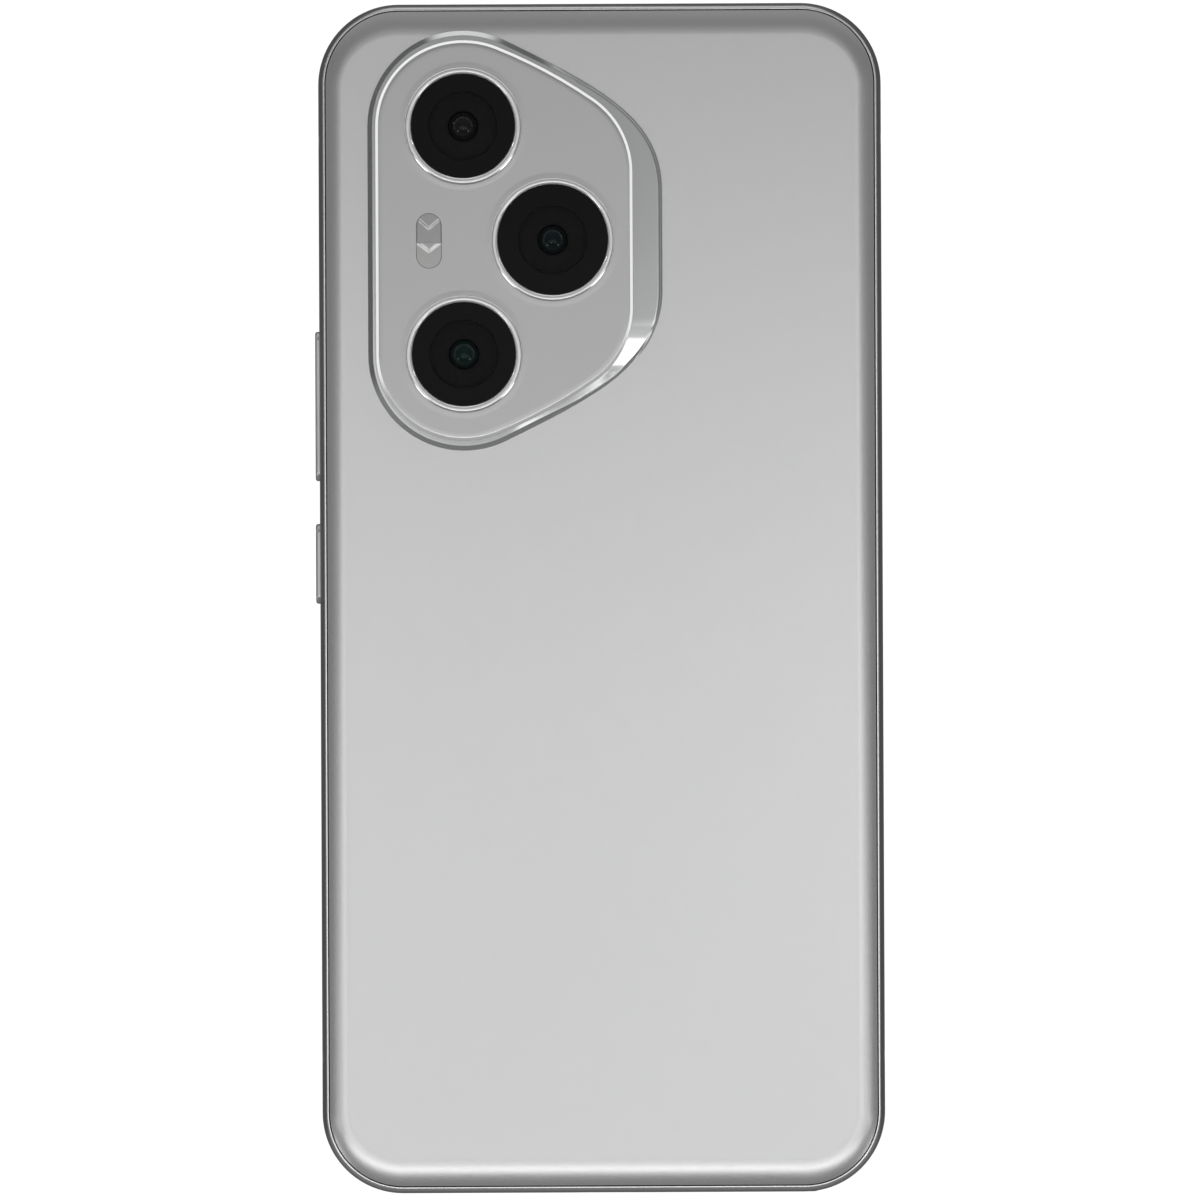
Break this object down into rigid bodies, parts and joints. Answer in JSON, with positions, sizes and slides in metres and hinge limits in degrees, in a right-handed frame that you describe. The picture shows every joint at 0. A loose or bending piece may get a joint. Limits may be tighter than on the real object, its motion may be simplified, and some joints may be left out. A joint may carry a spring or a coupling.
{
  "type": "smartphone",
  "caption": "Slab smartphone with a metal band, satin rear cover, stepped camera island, side keys, ejecting card tray and a reversible socket.",
  "frame": {"origin": "centre of the display glass's flat outer face, which the phone lies on", "axes": "+Z out of the rear cover, +Y towards the top edge, +X to the right as seen from behind"},
  "size_m": [0.0766, 0.1608, 0.0111],
  "materials": {
    "frame_aluminium": "fine bead-blasted and anodised silver",
    "key_aluminium": "satin anodised silver",
    "tray_aluminium": "fine bead-blasted and anodised silver",
    "antenna_plastic": "satin, matched to the metal",
    "display_glass": "polished, black behind",
    "display_stack": "dark laminate",
    "backing_foil": "dark foil tape",
    "cover_glass": "satin etched glass over a silver-grey film",
    "adhesive": "black foam tape",
    "island_base": "satin silver grey",
    "island_plate": "satin silver with a polished rim",
    "ring_aluminium": "turned and satin anodised, bright bevels",
    "lens_glass": "polished, coated, black mask behind",
    "camera_black": "black moulded",
    "flash_lens": "ribbed clear lens",
    "flash_phosphor": "pale yellow",
    "stainless": "stamped stainless steel",
    "circuit_board": "dark green solder mask",
    "flex_film": "amber film",
    "black_plastic": "fine moulded grain",
    "chip_resin": "black moulded resin",
    "seal_rubber": "soft black",
    "battery_foil": "dark foil pouch",
    "graphite_film": "grey graphite sheet",
    "infrared_black": "polished dark window"
  },
  "bodies": {
    "chassis": {"mid_frame": "frame_aluminium", "antenna_break_bottom_left": "antenna_plastic", "antenna_break_top_left": "antenna_plastic", "antenna_break_bottom_right": "antenna_plastic", "antenna_break_top_right": "antenna_plastic", "front_glass": "display_glass", "display_panel": "display_stack", "display_backing": "backing_foil", "display_flex": "flex_film", "fingerprint_sensor": "black_plastic", "rear_cover": "cover_glass", "cover_adhesive": "adhesive", "camera_base": "island_base", "camera_plate": "island_plate", "flash_window": "flash_lens", "flash_led": "flash_phosphor", "power_switch": "stainless", "volume_up_switch": "stainless", "volume_down_switch": "stainless", "key_flex": "flex_film", "sim_reader": "stainless", "usb_shell": "stainless", "usb_tongue": "black_plastic", "sub_board": "circuit_board", "speaker_module": "black_plastic", "speaker_mesh": "stainless", "bottom_microphone": "stainless", "vibration_motor": "stainless", "battery": "battery_foil", "board_link_flex": "flex_film", "graphite_sheet": "graphite_film", "main_board": "circuit_board", "processor_chip": "chip_resin", "shield_can": "stainless", "board_bracket": "black_plastic", "nfc_antenna": "flex_film", "front_camera": "camera_black", "earpiece_speaker": "black_plastic", "top_microphone": "stainless", "infrared_window": "infrared_black", "lens_ring_upper": "ring_aluminium", "lens_glass_upper": "lens_glass", "camera_module_upper": "camera_black", "lens_ring_middle": "ring_aluminium", "lens_glass_middle": "lens_glass", "camera_module_middle": "camera_black", "lens_ring_lower": "ring_aluminium", "lens_glass_lower": "lens_glass", "camera_module_lower": "camera_black", "board_screw_1": "stainless", "board_screw_2": "stainless", "board_screw_3": "stainless", "board_screw_4": "stainless"},
    "power_key": {"power_key": "key_aluminium"},
    "volume_key": {"volume_key": "key_aluminium"},
    "eject_rod": {"eject_rod": "stainless"},
    "eject_lever": {"eject_lever": "stainless"},
    "eject_slider": {"eject_slider": "stainless"},
    "sim_tray": {"sim_tray": "tray_aluminium", "sim_tray_seal": "seal_rubber"}
  },
  "joints": [
    {"name": "power_key_press", "type": "slide", "parent": "chassis", "child": "power_key", "axis": [1, 0, 0], "range_m": [0, 0.0003], "stiffness_N_per_m": 1500},
    {"name": "volume_key_rock", "type": "hinge", "parent": "chassis", "child": "volume_key", "pos_m": [-0.0367, 0.0261, 0.0039], "axis": [0, 0, 1], "range_deg": [-1.4, 1.4], "stiffness_Nm_per_rad": 1},
    {"name": "eject_rod_push", "type": "slide", "parent": "chassis", "child": "eject_rod", "axis": [0, 1, 0], "range_m": [0, 0.0014]},
    {"name": "eject_lever_turn", "type": "hinge", "parent": "chassis", "child": "eject_lever", "pos_m": [0.0239, -0.058, 0.0039], "axis": [0, 0, 1], "range_deg": [0, 23.6]},
    {"name": "eject_slider_push", "type": "slide", "parent": "chassis", "child": "eject_slider", "axis": [0, -1, 0], "range_m": [0, 0.0014]},
    {"name": "sim_tray_slide", "type": "slide", "parent": "eject_slider", "child": "sim_tray", "axis": [0, -1, 0], "range_m": [0, 0.02]}
  ],
  "couplings": [
    {"joint": "eject_lever_turn", "follows": "eject_rod_push", "rad_per_m": 294.12},
    {"joint": "eject_slider_push", "follows": "eject_rod_push", "ratio": 1}
  ]
}
